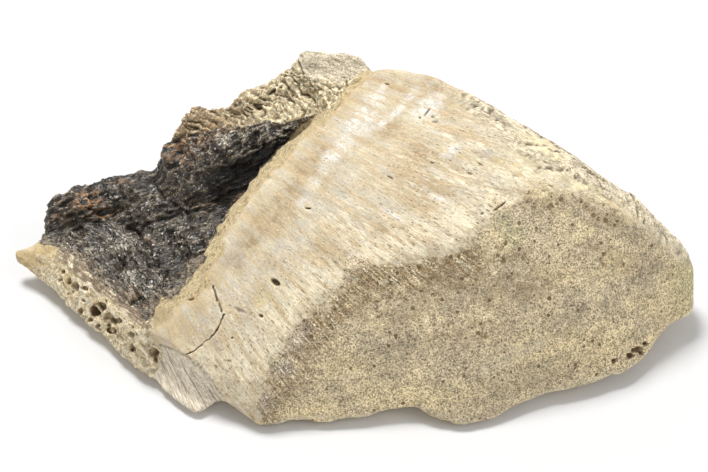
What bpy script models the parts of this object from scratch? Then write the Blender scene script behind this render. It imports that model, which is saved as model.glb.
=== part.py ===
"""A section broken from the flared end of a large fossil limb bone, modelled as the one solid that it is.

The bone is skinned over long lines that run from its left tip to its right end, then carved: the hollow
where the core broke out, the ledges along the breaks, the marrow cells in the broken edge, and the flat
spot that it rests on. X runs along the piece, Y goes from its front to its back, and Z is up. The origin
is on the ground, under the middle of the piece.
"""

import math

import bmesh
import bpy
import numpy as np
from mathutils import Matrix, Vector, noise

MM = 0.001
LEFT_TIP_X = -68.2
RIGHT_END_X = 66.4
STATION_STEP = 1.1
VOXEL = 0.8
TRIANGLE_GOAL = 8000

# The long lines, in the order that they are met going up the front, over the top, down the back and
# under. Each stop is (x, y, z) in millimetres.
FOOT = [
    (-68.2, 7.3, 5), (-67.5, 8, 5.15), (-66, 6.3, 4.75), (-63.5, 4.45, 3.75), (-61, 1.95, 3.25),
    (-59, -0.05, 3.25), (-57, -2.55, 2.75), (-54.5, -5.55, 2.75), (-51.5, -8.55, 2.75),
    (-49, -10.55, 2.75), (-46.8, -12.55, 2.75), (-46, -14.55, 2.75), (-43.5, -16.85, 2.75),
    (-40.5, -19.75, 2.25), (-37.5, -22.55, 2.25), (-36.5, -24.35, 1.75), (-34.5, -26.55, 1.75),
    (-32.5, -27.85, 1.75), (-31, -29.35, 1.25), (-29.5, -29.85, 1.25), (-28, -28.25, 1.25),
    (-26, -26.55, 2.25), (-24.8, -26.15, 3.35), (-23.5, -28.15, 2.75), (-21.5, -29.55, 2.75),
    (-19.5, -30.55, 1.75), (-18.5, -31.55, 1.25), (-17, -32.35, 1.2), (-15.5, -31.75, 1.25),
    (-13.5, -31.05, 1.75), (-8, -31.05, 1.75), (-6, -31.25, 1.25), (-1.5, -30.55, 2.25),
    (2.5, -30.05, 2.25), (5.5, -29.55, 2.75), (8.5, -29.25, 3.25), (11.5, -29.25, 3.35),
    (13.5, -29.95, 2.75), (14.7, -30.95, 2.05), (17.5, -31.35, 1.75), (21, -31.85, 1.2),
    (24, -30.55, 1.35), (27, -29.35, 1.75), (30, -27.55, 2.25), (33.5, -26.05, 2.25),
    (37.5, -24.55, 2.75), (41.5, -24.05, 2.75), (45, -23.05, 2.75), (48.5, -21.55, 2.75),
    (52.5, -20.05, 2.75), (55.5, -17.55, 2.75), (57, -15.55, 3.25), (58.5, -13.55, 3.25),
    (60, -11.05, 3.75), (61.2, -8.75, 4.75), (63, -8.25, 4.75), (64.5, -7.75, 5.25), (66, -7.15, 5.55),
    (66.4, -6.75, 5.95),
]
LOWER_FRONT = [
    (-68.2, 7.7, 6.25), (-66, 8, 7.5), (-64, 7, 8), (-62, 6, 8.6), (-58, 2.6, 9.2), (-54, -2, 9.5),
    (-47, -9.5, 10.5), (-41, -17, 11.5), (-35, -22.3, 11.3), (-31, -25.6, 8.8), (-28, -27, 7),
    (-26, -27.2, 6.8), (-22, -29, 6), (-18, -31, 5.5), (-10, -27.7, 11), (0, -25.3, 14.5),
    (10, -23.5, 17), (27, -20.7, 20), (40, -16.9, 20.5), (50, -13.9, 18), (57, -10.8, 14),
    (61, -8.2, 12.2), (64, -7, 11), (66.4, -5.6, 8.8),
]
JOINT_BORDER = [
    (-68.2, 7.9, 6.65), (-66, 8.2, 7.6), (-64, 7.2, 8.2), (-62, 6.9, 9), (-58, 3.6, 9.8),
    (-54, -1, 10.3), (-47, -8, 11.2), (-41, -16, 12.3), (-35, -20.5, 13), (-31, -22.3, 12),
    (-28, -24, 11), (-24, -26.4, 9.8), (-19.5, -29, 9), (-15, -25.3, 15.5), (-10, -21, 20),
    (-2.5, -15.8, 27), (8.5, -14, 29.5), (18, -13.2, 31.5), (27, -7, 35), (38, -3.8, 36.3),
    (48, -4.6, 32.8), (56, -5, 26.5), (62, -4.6, 19), (66.4, -4.2, 11.2),
]
FACE_MIDDLE = [
    (-68.2, 8.2, 6.95), (-66, 8.4, 7.8), (-64, 7.6, 8.4), (-62, 7.8, 9.2), (-58, 4.6, 10),
    (-54, 0, 10.5), (-41, -15.3, 12.6), (-35, -18.6, 14.3), (-28, -18.5, 17), (-20, -16, 19.5),
    (-10, -5.5, 29.5), (0, 1.5, 36), (10, 4.5, 38.7), (27, 4, 40.2), (38, 1.5, 38.6), (48, -0.8, 33.6),
    (56, -2, 27.3), (62, -2.6, 20), (66.4, -3.2, 12.8),
]
RIM_AND_CREST = [
    (-68.2, 8.5, 7.05), (-66, 8.6, 7.9), (-64, 7.9, 8.5), (-62, 8.7, 9.4), (-58, 5.6, 10.2),
    (-54, 1, 10.7), (-45, -8, 11.6), (-39, -17, 12.5), (-37.3, -16.8, 13.6), (-34.2, -15.7, 16),
    (-29.4, -14.6, 19.5), (-27.2, -11.6, 23), (-25, -8.8, 25), (-23.8, -5.3, 27), (-20.2, -1.4, 30),
    (-16.7, 2.3, 33), (-12, 6.6, 36), (-8.6, 9.6, 38.5), (-4.2, 11.6, 41), (-1.5, 15.4, 43),
    (0.5, 17.2, 43.6), (3.4, 20.65, 45.05), (9, 20.25, 45.8), (14.5, 18.95, 45.4), (18.5, 17.55, 44.15),
    (26, 13.55, 42.65), (33.5, 9.55, 40.25), (41, 6.55, 37.15), (45, 4.65, 34.25), (48.5, 3.15, 31.75),
    (54.5, 2.55, 28.8), (58.5, 0.15, 24.9), (63, -0.5, 20.3), (65, -1.4, 17.1), (66.4, -2.1, 13.8),
]
CORTEX_EDGE = [
    (-68.2, 8.7, 7.05), (-66, 8.8, 7.9), (-64, 8.1, 8.5), (-62, 9.4, 9.4), (-58, 6.8, 10),
    (-54, 2.5, 10.5), (-45, -6, 11.3), (-39.4, -12.8, 12.1), (-38.1, -11.5, 13), (-33.7, -11.3, 16.3),
    (-30.6, -9.4, 19.3), (-28, -5.3, 23), (-24.8, -0.3, 25.4), (-21.1, 4.9, 28.4), (-16.9, 9, 31.4),
    (-12.9, 12.5, 34.2), (-10, 14.2, 36.6), (-6.1, 14.8, 39.1), (-3.4, 16.3, 41), (-0.8, 18.9, 42.6),
    (1.5, 20.4, 43.9), (4, 21.8, 44.2), (9, 20.7, 44.4), (16, 19.4, 43.7), (33, 10.5, 39.2),
    (50.6, 3.5, 29.5), (58.5, 0.5, 23.9), (63, -0.1, 19.4), (66.4, -1.7, 13.8),
]
CLEFT = [
    (-68.2, 8.9, 7.05), (-66, 9, 7.9), (-64, 8.3, 8.5), (-62, 10, 9.3), (-58, 8.5, 9.6),
    (-54, 4.5, 9.6), (-45, -4, 10), (-39.4, -11, 10.2), (-33.7, -9.2, 10.6), (-30.6, -7.6, 11),
    (-28, -4, 11.5), (-24.8, 1, 13), (-21.1, 6.2, 16), (-16.9, 10.2, 20.5), (-12.9, 13.4, 26),
    (-10, 14.9, 31), (-6.1, 15.2, 36.6), (-3.4, 16.8, 40.2), (-0.8, 19.6, 42.2), (1.5, 21, 43.4),
    (4, 22.4, 43.5), (9, 21.5, 43.5), (16, 20.4, 42.6), (33, 11.4, 38.1), (50.6, 4.2, 28.6),
    (58.5, 1, 23.3), (63, 0.3, 18.9), (66.4, -1.2, 13.7),
]
CORE_MIDDLE = [
    (-68.2, 9.1, 7.05), (-66, 9.2, 7.9), (-64, 8.5, 8.5), (-62, 10.8, 9.4), (-58, 10.5, 9.6),
    (-50, 7, 9.4), (-41, 1, 9.6), (-35.7, -3, 10.5), (-30.6, -0.5, 12.8), (-28, 3, 14),
    (-24.8, 7, 15.6), (-21.1, 9.8, 17.6), (-16.9, 12.3, 21.5), (-12.9, 14.4, 26.6), (-10, 15.2, 31.5),
    (-6.1, 15.3, 37), (-3.4, 17.2, 40.2), (-0.8, 20.2, 42.3), (1.5, 21.6, 43.2), (4, 23, 42.8),
    (9, 22.3, 42.5), (16, 21.4, 41.3), (33, 12.3, 36.9), (50.6, 4.9, 27.7), (58.5, 1.5, 22.7),
    (63, 0.7, 18.4), (66.4, -0.7, 13.5),
]
CORE_FLOOR = [
    (-68.2, 9.3, 7.05), (-66, 9.4, 7.9), (-64, 8.7, 8.6), (-62, 11.8, 9.5), (-58, 12.5, 9.8),
    (-50, 13.5, 9.6), (-41, 11.5, 10), (-35, 11.5, 12.4), (-30.7, 12.6, 15.6), (-25.6, 13.3, 17.6),
    (-21.5, 13.7, 19.8), (-16.9, 14.5, 23.4), (-12.4, 15.2, 28), (-10, 15.5, 32), (-6.5, 15.6, 37.4),
    (-3.4, 17.6, 40.6), (-0.8, 20.8, 42.8), (1.5, 22.2, 43.4), (4, 23.6, 42), (9, 23.2, 41.3),
    (16, 22.4, 39.8), (33, 13.4, 35.3), (50.6, 5.7, 26.6), (58.5, 2, 22), (63, 1.1, 17.8),
    (66.4, -0.2, 13.2),
]
CORE_STEP = [
    (-68.2, 9.5, 6.95), (-66.5, 9, 7.7), (-64, 8.9, 8.5), (-62.2, 10.4, 9.2), (-61.2, 13.2, 10.4),
    (-58, 15.2, 11.6), (-50, 17, 12.4), (-41, 15.5, 13.4), (-36, 16.2, 17.5), (-32.6, 16.8, 21),
    (-27.4, 16.2, 24.8), (-22.4, 16.8, 27.5), (-17.4, 17, 30), (-12.4, 16.6, 33.3), (-9, 16.2, 36),
    (-6.5, 16, 38.4), (-3.4, 18.2, 41.2), (-0.8, 21.4, 43.4), (1.5, 22.8, 44), (4, 24.2, 41.2),
    (9, 24, 40.1), (16, 23.4, 38.2), (33, 14.6, 33.5), (50.6, 6.6, 25.3), (58.5, 2.6, 21.2),
    (63, 1.5, 17.2), (66.4, 0.3, 12.8),
]
CORE_RIDGE = [
    (-68.2, 9.8, 6.95), (-66.5, 9.2, 7.7), (-64, 9.1, 8.5), (-62.4, 10.6, 9.2), (-61.6, 14.6, 10.8),
    (-58, 17.4, 12.2), (-50, 20.3, 13.2), (-41, 19, 15.6), (-37, 20.4, 20), (-32.8, 21.5, 24.4),
    (-27, 20.6, 27.6), (-22.4, 20.6, 31), (-17.4, 20.8, 33.4), (-12.6, 21.4, 37.4), (-10.5, 21.6, 40.6),
    (-6.5, 21, 42.4), (-1, 22.4, 44.4), (1.5, 23.4, 44.4), (4, 25, 40), (9, 25.2, 38.2),
    (16, 24.8, 35.8), (33, 16.2, 30.9), (50.6, 8, 23.1), (58.5, 3.5, 19.8), (63, 2.1, 16.2),
    (66.4, 0.8, 12.2),
]
BACK_RIDGE = [
    (-68.2, 10.1, 6.75), (-66.5, 9.4, 7.6), (-64, 9.4, 8.5), (-62.6, 10.9, 9.3), (-62.1, 12.6, 10.2),
    (-61.6, 16.7, 10.95), (-60.2, 18.3, 11.95), (-58, 19, 12.25), (-56, 20.7, 12.25),
    (-54, 22.3, 12.75), (-50, 22.9, 13.25), (-45, 22.9, 14.65), (-40.5, 21.9, 17.05),
    (-38.5, 23.2, 19.55), (-37, 24.6, 23.4), (-35.8, 26.2, 26.4), (-34, 27.1, 28.4), (-31, 26.7, 30.2),
    (-26, 25.2, 31.6), (-24.3, 25.7, 33.8), (-22, 26.2, 36.3), (-20, 26.2, 36.8), (-17, 26.2, 37.2),
    (-14.3, 26.2, 38.7), (-12.7, 26.4, 41.2), (-11.4, 27, 44.4), (-9.5, 26.8, 46), (-7, 25.7, 45.7),
    (-4, 25.2, 46.2), (0, 25, 45.8), (2.4, 24.2, 45.7), (4, 26.2, 38.4), (9, 26.8, 35.5),
    (16, 26.8, 32.3), (33, 18.6, 27), (50.6, 10.2, 20), (58.5, 5, 17.7), (63, 3.2, 14.6),
    (66.4, 1.4, 11.4),
]
BACK_FACE = [
    (-68.2, 10.2, 6.05), (-66, 9.6, 6.6), (-64, 10.1, 6.8), (-62.5, 15, 7.2), (-61, 19, 7.6),
    (-57, 21.8, 8), (-46, 26, 8.5), (-37, 29, 13), (-27, 31, 18), (-15, 32, 21), (0, 31.6, 23),
    (16, 31, 21), (33, 24, 17.5), (50.6, 15, 13), (58.5, 8.6, 11.8), (63, 5, 10.8), (66.4, 2, 9.6),
]
BACK_FOOT = [
    (-68.2, 9.9, 5.25), (-66, 10.2, 4.9), (-64, 10.3, 4.5), (-61, 17, 3.8), (-57, 19.5, 3.3),
    (-46, 23.5, 2.5), (-37, 27, 2.5), (-15, 30, 2.5), (0, 29.5, 3), (16, 28, 3), (33, 22, 3),
    (50.6, 14, 3.5), (58.5, 8, 4.4), (63, 4.4, 5.4), (66.4, 1, 7),
]
UNDER_BACK = [
    (-68.2, 9.1, 4.75), (-64, 9, 3.6), (-58, 12, 1.6), (-46, 14, -0.9), (-20, 17, -1.1), (16, 17, -1.1),
    (36, 13, -0.9), (52, 6, 1.2), (63, 0.5, 4.2), (66.4, -1, 6.3),
]
UNDER_FRONT = [
    (-68.2, 8.2, 4.75), (-64, 6.5, 3.6), (-58, 5, 1.6), (-46, -7, -0.7), (-28, -19, -1.1),
    (16, -21, -1.1), (36, -17, -0.9), (52, -10, 1.2), (63, -4, 4.2), (66.4, -4, 6.1),
]
LONG_LINES = [
    FOOT, LOWER_FRONT, JOINT_BORDER, FACE_MIDDLE, RIM_AND_CREST, CORTEX_EDGE, CLEFT, CORE_MIDDLE,
    CORE_FLOOR, CORE_STEP, CORE_RIDGE, BACK_RIDGE, BACK_FACE, BACK_FOOT, UNDER_BACK, UNDER_FRONT,
]

# Lumps and dips left where the core tore out: (x, y, z), radius, height along the surface's own normal.
CORE_LUMPS = [
    ((-60, 17, 11.5), 3.6, 1.2), ((-55, 17.5, 12), 4.6, 1.5), ((-49.2, 20.5, 13), 4.0, 1.0),
    ((-48.8, 15.5, 12), 3.0, -2.4), ((-43, 18.5, 14), 4.4, 1.8), ((-44.5, 11, 10), 3.4, -1.2),
    ((-40, 13.5, 11), 3.6, 1.6), ((-52.5, 8.5, 9.6), 3.2, -1.3), ((-47, 8, 9.5), 4.6, 1.9),
    ((-44.5, 2.5, 9.5), 3.0, -1.1), ((-40.5, -2.5, 10), 4.2, 2.0), ((-36, 4, 10.6), 3.4, -1.2),
    ((-35, -5, 10.6), 3.4, 1.3), ((-35, 10.5, 12.5), 3.6, 1.5), ((-30, 4, 13.5), 4.0, 0.9),
    ((-37, -11.5, 11), 2.4, -1.6), ((-34.5, 20.5, 23.5), 3.0, -1.5), ((-31, 24, 28), 3.6, 1.2),
    ((-27, 19, 26.5), 3.4, 1.3), ((-24, 23, 31.5), 3.0, -1.4), ((-20.5, 23, 34.5), 3.4, 1.1),
    ((-18.5, 18.5, 31), 3.2, 1.2), ((-15.2, 22.4, 35.5), 3.0, -1.3), ((-12.5, 18.5, 34.5), 3.0, 0.9),
    ((-8.5, 18.8, 39), 2.6, -1.1), ((-3.2, 20.6, 42.5), 2.6, -1.0),
]

# The marrow cells that are open in the broken left edge: x, share of the way up the edge, width, height.
EDGE_CELLS = [
    (-58.8, 0.80, 1.9, 1.2), (-57.0, 0.66, 2.0, 1.5), (-55.4, 0.58, 2.6, 1.9), (-54.1, 0.70, 1.8, 1.5),
    (-54.4, 0.22, 1.7, 1.6), (-50.6, 0.52, 3.4, 2.5), (-52.3, 0.14, 1.6, 1.3), (-47.6, 0.66, 2.0, 1.5),
    (-48.0, 0.36, 2.4, 2.5), (-45.6, 0.46, 2.2, 2.0), (-50.0, 0.16, 2.0, 1.3), (-46.8, 0.14, 2.2, 2.1),
    (-43.0, 0.40, 2.0, 2.4), (-42.4, 0.13, 1.9, 1.3), (-38.3, 0.42, 2.2, 3.2), (-39.9, 0.17, 1.5, 1.7),
]
# Cells at the worn right foot, where the joint surface has broken through.
FOOT_CELLS = [(52.4, 0.20, 2.0, 1.6), (54.3, 0.30, 1.9, 1.5), (50.4, 0.24, 1.5, 1.3), (56.0, 0.22, 1.6, 1.4)]
CELL_DEPTH = 2.0
CELL_SUNK = 0.7

BONE_COLOUR = (0.60, 0.49, 0.33, 1.0)


def remove_start_objects():
    for obj in list(bpy.data.objects):
        bpy.data.objects.remove(obj)


def collection(name):
    made = bpy.data.collections.new(name)
    bpy.context.scene.collection.children.link(made)
    return made


def place_at(line, x):
    """The (y, z) of a long line where it passes x, or one row of them for each x."""
    stops = np.array(line, float)
    return np.stack([np.interp(x, stops[:, 0], stops[:, 1]), np.interp(x, stops[:, 0], stops[:, 2])], -1)


def softened(rows):
    """Each row averaged with its neighbours, so that a line bends at its stops without a corner."""
    inner = (rows[:-2] + 2 * rows[1:-1] + rows[2:]) / 4
    return np.concatenate([rows[:1], inner, rows[-1:]])


def skin_long_lines(name, home):
    """Lofts one closed skin over the long lines, ring by ring."""
    count = round((RIGHT_END_X - LEFT_TIP_X) / STATION_STEP) + 1
    stations = np.linspace(LEFT_TIP_X, RIGHT_END_X, count)
    mesh = bmesh.new()
    lines = [softened(place_at(line, stations)) for line in LONG_LINES]
    rings = [
        [mesh.verts.new(Vector((x, *line[i])) * MM) for line in lines] for i, x in enumerate(stations)
    ]
    sides = len(LONG_LINES)
    for ring, following in zip(rings, rings[1:]):
        for side in range(sides):
            after = (side + 1) % sides
            mesh.faces.new((ring[side], following[side], following[after], ring[after]))
    mesh.faces.new(rings[0])
    mesh.faces.new(reversed(rings[-1]))
    bmesh.ops.recalc_face_normals(mesh, faces=mesh.faces)
    data = bpy.data.meshes.new(name)
    mesh.to_mesh(data)
    mesh.free()
    obj = bpy.data.objects.new(name, data)
    home.objects.link(obj)
    return obj


def keep_evaluated(obj):
    """Replaces an object's mesh by what its modifiers make of it."""
    bpy.context.view_layer.update()
    depsgraph = bpy.context.evaluated_depsgraph_get()
    finished = bpy.data.meshes.new_from_object(obj.evaluated_get(depsgraph))
    obj.modifiers.clear()
    obj.data = finished


def even_out(obj):
    """Gives the skin an even net of faces and rounds its edges slightly, as wear has."""
    remesh = obj.modifiers.new("even net", "REMESH")
    remesh.mode = "VOXEL"
    remesh.voxel_size = VOXEL * MM
    wear = obj.modifiers.new("wear", "SMOOTH")
    wear.factor = 0.5
    wear.iterations = 2
    keep_evaluated(obj)


def read_points(mesh, what):
    values = np.zeros(len(mesh.vertices) * 3)
    mesh.vertices.foreach_get(what, values)
    return values.reshape(-1, 3)


def smooth_step(share):
    share = np.clip(share, 0, 1)
    return share * share * (3 - 2 * share)


def noise_at(points, size, seed):
    """Soft noise from -1 to 1 over points in millimetres, with features of the given size."""
    shift = Vector((seed * 17.3, seed * 5.1, seed * 9.7))
    return np.array([noise.noise(Vector(p) / size + shift) for p in points])


def lump_push(points):
    push = np.zeros(len(points))
    for centre, radius, height in CORE_LUMPS:
        away = np.linalg.norm(points - np.array(centre), axis=1) / radius
        push += height * np.exp(-2.0 * away * away)
    return push


def core_share(points):
    """1 in the torn hollow between the rim and the back ridge, and 0 well outside it."""
    rim = place_at(RIM_AND_CREST, points[:, 0])
    ridge = place_at(BACK_RIDGE, points[:, 0])
    behind_rim = smooth_step((points[:, 1] - rim[:, 0] - 0.5) / 2.0)
    before_ridge = smooth_step((ridge[:, 0] + 2.5 - points[:, 1]) / 2.5)
    left_of_peak = smooth_step((4.0 - points[:, 0]) / 6.0)
    above_ground = smooth_step((points[:, 2] - 6.0) / 2.0)
    return behind_rim * before_ridge * left_of_peak * above_ground


def ledge_push(points):
    """The step below the crack, where the outer layer has flaked off the left corner."""
    inside_edge = (points[:, :2] - np.array([-31.6, -22.9])) @ np.array([0.576, 0.817])
    flaked = smooth_step(-inside_edge / 1.1) * smooth_step((points[:, 0] + 41.0) / 3.0)
    low = smooth_step((points[:, 2] - 1.5) / 2.5) * smooth_step((16.0 - points[:, 2]) / 3.0)
    return -2.1 * flaked * low * (points[:, 1] < -15.0)


def carve_relief(obj):
    """Moves the skin along its own normals: broad swells, the lumps of the torn core, and the flaked step."""
    points = read_points(obj.data, "co") / MM
    normals = read_points(obj.data, "normal")
    core = core_share(points)
    grain = points * np.array([0.45, 1.0, 1.0])
    push = 0.4 * noise_at(points, 11.0, 1) + 0.18 * noise_at(points, 4.5, 2)
    push += core * (lump_push(points) + 1.0 * noise_at(grain, 3.6, 3) + 0.7 * noise_at(grain, 2.0, 4))
    back = smooth_step((points[:, 1] - place_at(BACK_RIDGE, points[:, 0])[:, 0]) / 4.0)
    push += back * 0.7 * noise_at(points * np.array([0.5, 1.0, 1.0]), 5.0, 5)
    push += ledge_push(points)
    moved = (points + normals * push[:, None]) * MM
    obj.data.vertices.foreach_set("co", moved.ravel())
    obj.data.update()


def cell_cutter(x, share, width, height, name):
    """One marrow cell: a small egg, sunk in the front edge at that share of the way up."""
    foot = Vector((x, *place_at(FOOT, x)))
    rise = Vector((x, *place_at(LOWER_FRONT, x))) - foot
    along = Vector((4.0, *(place_at(FOOT, x + 2) - place_at(FOOT, x - 2))))
    outward = along.cross(rise).normalized()
    spot = (foot + rise * share - outward * CELL_SUNK) * MM
    bpy.ops.mesh.primitive_ico_sphere_add(subdivisions=2, radius=0.5, location=spot)
    egg = bpy.context.object
    egg.name = name
    egg.scale = Vector((width, CELL_DEPTH * 2, height)) * MM
    egg.rotation_euler = outward.to_track_quat("-Y", "Z").to_euler()
    return egg


def join_cutters(eggs, name, home):
    """Puts the eggs in one hidden cutter, which takes less work than one Boolean for each."""
    mesh = bmesh.new()
    bpy.context.view_layer.update()
    for egg in eggs:
        part = egg.data.copy()
        part.transform(egg.matrix_world)
        mesh.from_mesh(part)
        bpy.data.objects.remove(egg)
    data = bpy.data.meshes.new(name)
    mesh.to_mesh(data)
    mesh.free()
    cutter = bpy.data.objects.new(name, data)
    home.objects.link(cutter)
    hide_cutter(cutter)
    return cutter


def hide_cutter(cutter):
    cutter.hide_render = True
    cutter.display_type = "WIRE"


def ground_cutter(home):
    """The block below the ground, which leaves the flat spot that the bone rests on."""
    bpy.ops.mesh.primitive_cube_add(size=1.0, location=(0.0, 0.0, -10 * MM))
    block = bpy.context.object
    block.name = "ground_cutter"
    block.data.transform(Matrix.Diagonal((200 * MM, 120 * MM, 20 * MM, 1.0)))
    for owner in list(block.users_collection):
        owner.objects.unlink(block)
    home.objects.link(block)
    hide_cutter(block)
    return block


def cut_with(obj, cutter):
    cut = obj.modifiers.new(cutter.name, "BOOLEAN")
    cut.operation = "DIFFERENCE"
    cut.object = cutter


def stand_over_origin(bone, cutters):
    """Slides the bone and its cutters along the ground, so that the origin is under the bone's middle."""
    bpy.context.view_layer.update()
    corners = np.array(bone.evaluated_get(bpy.context.evaluated_depsgraph_get()).bound_box)
    middle = (corners.min(axis=0) + corners.max(axis=0)) / 2
    slide = Matrix.Translation((-middle[0], -middle[1], 0.0))
    for obj in [bone, *cutters]:
        obj.data.transform(slide)


def bone_material():
    material = bpy.data.materials.new("fossil_bone")
    material.use_nodes = True
    shader = material.node_tree.nodes["Principled BSDF"]
    shader.inputs["Base Color"].default_value = BONE_COLOUR
    shader.inputs["Roughness"].default_value = 0.75
    shader.inputs["Metallic"].default_value = 0.0
    return material


def main():
    remove_start_objects()
    bone_home = collection("fossil_bone_section")
    cutter_home = collection("cutters")
    bone = skin_long_lines("bone_section", bone_home)
    even_out(bone)
    carve_relief(bone)
    thin = bone.modifiers.new("fewer faces", "DECIMATE")
    thin.ratio = TRIANGLE_GOAL / (2 * len(bone.data.polygons))
    keep_evaluated(bone)
    eggs = [
        cell_cutter(*cell, f"cell_{number}")
        for number, cell in enumerate(EDGE_CELLS + FOOT_CELLS)
    ]
    cutters = [join_cutters(eggs, "cell_cutter", cutter_home), ground_cutter(cutter_home)]
    for cutter in cutters:
        cut_with(bone, cutter)
    stand_over_origin(bone, cutters)
    bone.data.materials.clear()
    bone.data.materials.append(bone_material())
    bone.data.shade_smooth()
    bone.data.set_sharp_from_angle(angle=math.radians(40))


main()
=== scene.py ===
import bmesh
import bpy
import numpy as np
from mathutils import Matrix, Vector
from mathutils.bvhtree import BVHTree
from mathutils.kdtree import KDTree


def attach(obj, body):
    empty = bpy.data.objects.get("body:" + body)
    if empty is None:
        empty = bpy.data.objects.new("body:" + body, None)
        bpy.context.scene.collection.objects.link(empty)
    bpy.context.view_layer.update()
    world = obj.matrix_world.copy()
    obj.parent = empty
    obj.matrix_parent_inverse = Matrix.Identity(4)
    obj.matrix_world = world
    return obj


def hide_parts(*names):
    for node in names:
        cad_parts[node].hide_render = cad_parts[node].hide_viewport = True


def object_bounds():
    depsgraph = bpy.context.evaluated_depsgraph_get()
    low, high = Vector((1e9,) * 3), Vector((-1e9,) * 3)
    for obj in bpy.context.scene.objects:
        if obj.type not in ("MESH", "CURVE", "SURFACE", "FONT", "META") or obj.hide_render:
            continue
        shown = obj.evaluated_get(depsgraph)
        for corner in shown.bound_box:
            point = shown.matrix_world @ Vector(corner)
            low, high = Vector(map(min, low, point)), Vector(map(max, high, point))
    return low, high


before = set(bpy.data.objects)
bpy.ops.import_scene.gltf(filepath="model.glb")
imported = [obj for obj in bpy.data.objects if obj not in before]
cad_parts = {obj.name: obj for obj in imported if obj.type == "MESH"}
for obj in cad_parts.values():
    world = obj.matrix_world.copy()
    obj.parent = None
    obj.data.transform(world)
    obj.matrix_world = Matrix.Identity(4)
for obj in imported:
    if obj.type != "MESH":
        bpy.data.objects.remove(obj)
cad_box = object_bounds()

# --------------------------------
# The camera that the piece is looked at with. It stands in front of the bone
# and 45 degrees above it, and each mark on the bone is placed by where it
# shows in this view, in pixels across and down a picture 708 wide, 472 high.
# --------------------------------
# Sizes here are in millimetres, and places in the picture in pixels.
MM = 0.001
MM_PER_M = 1000.0
EYE = np.array([0.85, -268.58, 289.02])
AIM = np.array([0.85, 0.44, 20.0])
LENS = 100.0
SENSOR = 36.0
PICTURE = np.array([708.0, 472.0])
FORWARD = (AIM - EYE) / np.linalg.norm(AIM - EYE)
RIGHT = np.array([1.0, 0.0, 0.0])
UP = np.cross(RIGHT, FORWARD)
PIXELS = LENS / SENSOR * PICTURE[0]


def put_in_scene(name, data):
    made = bpy.data.objects.new(name, data)
    bpy.context.scene.collection.objects.link(made)
    return made


def point_at(thing, direction):
    thing.rotation_mode = "QUATERNION"
    thing.rotation_quaternion = Vector(direction).to_track_quat("-Z", "Y")


camera = put_in_scene("camera", bpy.data.cameras.new("camera"))
camera.data.lens = LENS
camera.data.sensor_width = SENSOR
camera.data.clip_start = 0.01
camera.data.clip_end = 10.0
camera.location = Vector(EYE) * MM
point_at(camera, FORWARD)
bpy.context.scene.camera = camera


def in_picture(points):
    """Pixels across and down at which points in millimetres show."""
    away = points - EYE
    depth = away @ FORWARD
    across = PICTURE[0] / 2 + PIXELS * (away @ RIGHT) / depth
    down = PICTURE[1] / 2 - PIXELS * (away @ UP) / depth
    return across, down


# --------------------------------
# The bone itself: one solid broken piece of fossil bone. Its skin is laid
# over the solid as one close net of small faces, fine where the bone is torn
# and finer still round cracks, slits and open marrow cells.
# --------------------------------
NET = 0.69  # between corners of the net
SMOOTHING = [0.55, -0.57] * 14  # in and out again, so the bone keeps its size
CRACK_REACH = 3.5
TORN_AREA = [(8, 252), (40, 200), (80, 185), (125, 172), (158, 160), (183, 112), (235, 85),
    (292, 70), (300, 45), (340, 45), (372, 62), (362, 92), (340, 112), (313, 140), (270, 188),
    (232, 240), (214, 282), (178, 314), (160, 330), (176, 360), (150, 385), (100, 345), (60, 300)]
FINE_SPOTS = [(75, 285, 11), (97, 308, 13), (84, 320, 12), (112, 322, 13), (131, 334, 9),
    (154, 353, 10), (275, 282, 9), (637, 353, 13), (261, 316, 5), (232, 338, 5), (229, 361, 5),
    (482, 213, 5), (500, 206, 8), (308, 208, 7), (190, 299, 6), (240, 310, 7), (289, 249, 7),
    (387, 84, 5), (432, 163, 6), (390, 178, 6), (480, 164, 6), (470, 173, 6), (555, 144, 8),
    (638, 213, 9), (425, 110, 11)]
CRACK = [(213, 286), (215, 292), (217, 298), (220, 307), (222, 311)]
CRACK_BELOW = [(225, 314), (223, 318), (221, 323), (218, 330), (214, 335), (209, 339),
    (203, 343), (198, 348), (193, 352), (186, 354)]


def smooth_step(low, high, value):
    t = np.clip((value - low) / (high - low), 0.0, 1.0)
    return t * t * (3.0 - 2.0 * t)


def to_line(across, down, stops):
    """Distance in pixels from each place to a line through the stops."""
    best = np.full(len(across), 1e9)
    for (ax, ay), (bx, by) in zip(stops, stops[1:]):
        run = np.array([bx - ax, by - ay], float)
        t = ((across - ax) * run[0] + (down - ay) * run[1]) / (run @ run)
        t = np.clip(t, 0.0, 1.0)
        gap = np.hypot(across - ax - t * run[0], down - ay - t * run[1])
        best = np.minimum(best, gap)
    return best


def within(across, down, border, soft):
    """1 inside a closed border, 0 outside it, and a soft change between."""
    ring = list(border) + [border[0]]
    inside = np.zeros(len(across), bool)
    for (ax, ay), (bx, by) in zip(ring, ring[1:]):
        if ay != by:
            crosses = (ay > down) != (by > down)
            inside ^= crosses & (across < (bx - ax) * (down - ay) / (by - ay) + ax)
    gap = to_line(across, down, ring) * np.where(inside, 1.0, -1.0)
    return smooth_step(-soft, soft, gap)


def net_over(solid):
    """A close net of quads over the solid, in millimetres."""
    mesh = solid.data.copy()
    work = bmesh.new()
    work.from_mesh(mesh)
    bmesh.ops.remove_doubles(work, verts=work.verts, dist=1e-6)
    work.to_mesh(mesh)
    work.free()
    mesh.transform(Matrix.Diagonal((MM_PER_M, MM_PER_M, MM_PER_M, 1.0)))
    blank = put_in_scene("net", mesh)
    remesh = blank.modifiers.new("net", "REMESH")
    remesh.mode = "VOXEL"
    remesh.voxel_size = NET
    bpy.context.view_layer.update()
    dense = bpy.data.meshes.new_from_object(
        blank.evaluated_get(bpy.context.evaluated_depsgraph_get()))
    bpy.data.objects.remove(blank)
    net = bmesh.new()
    net.from_mesh(dense)
    return net


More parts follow.
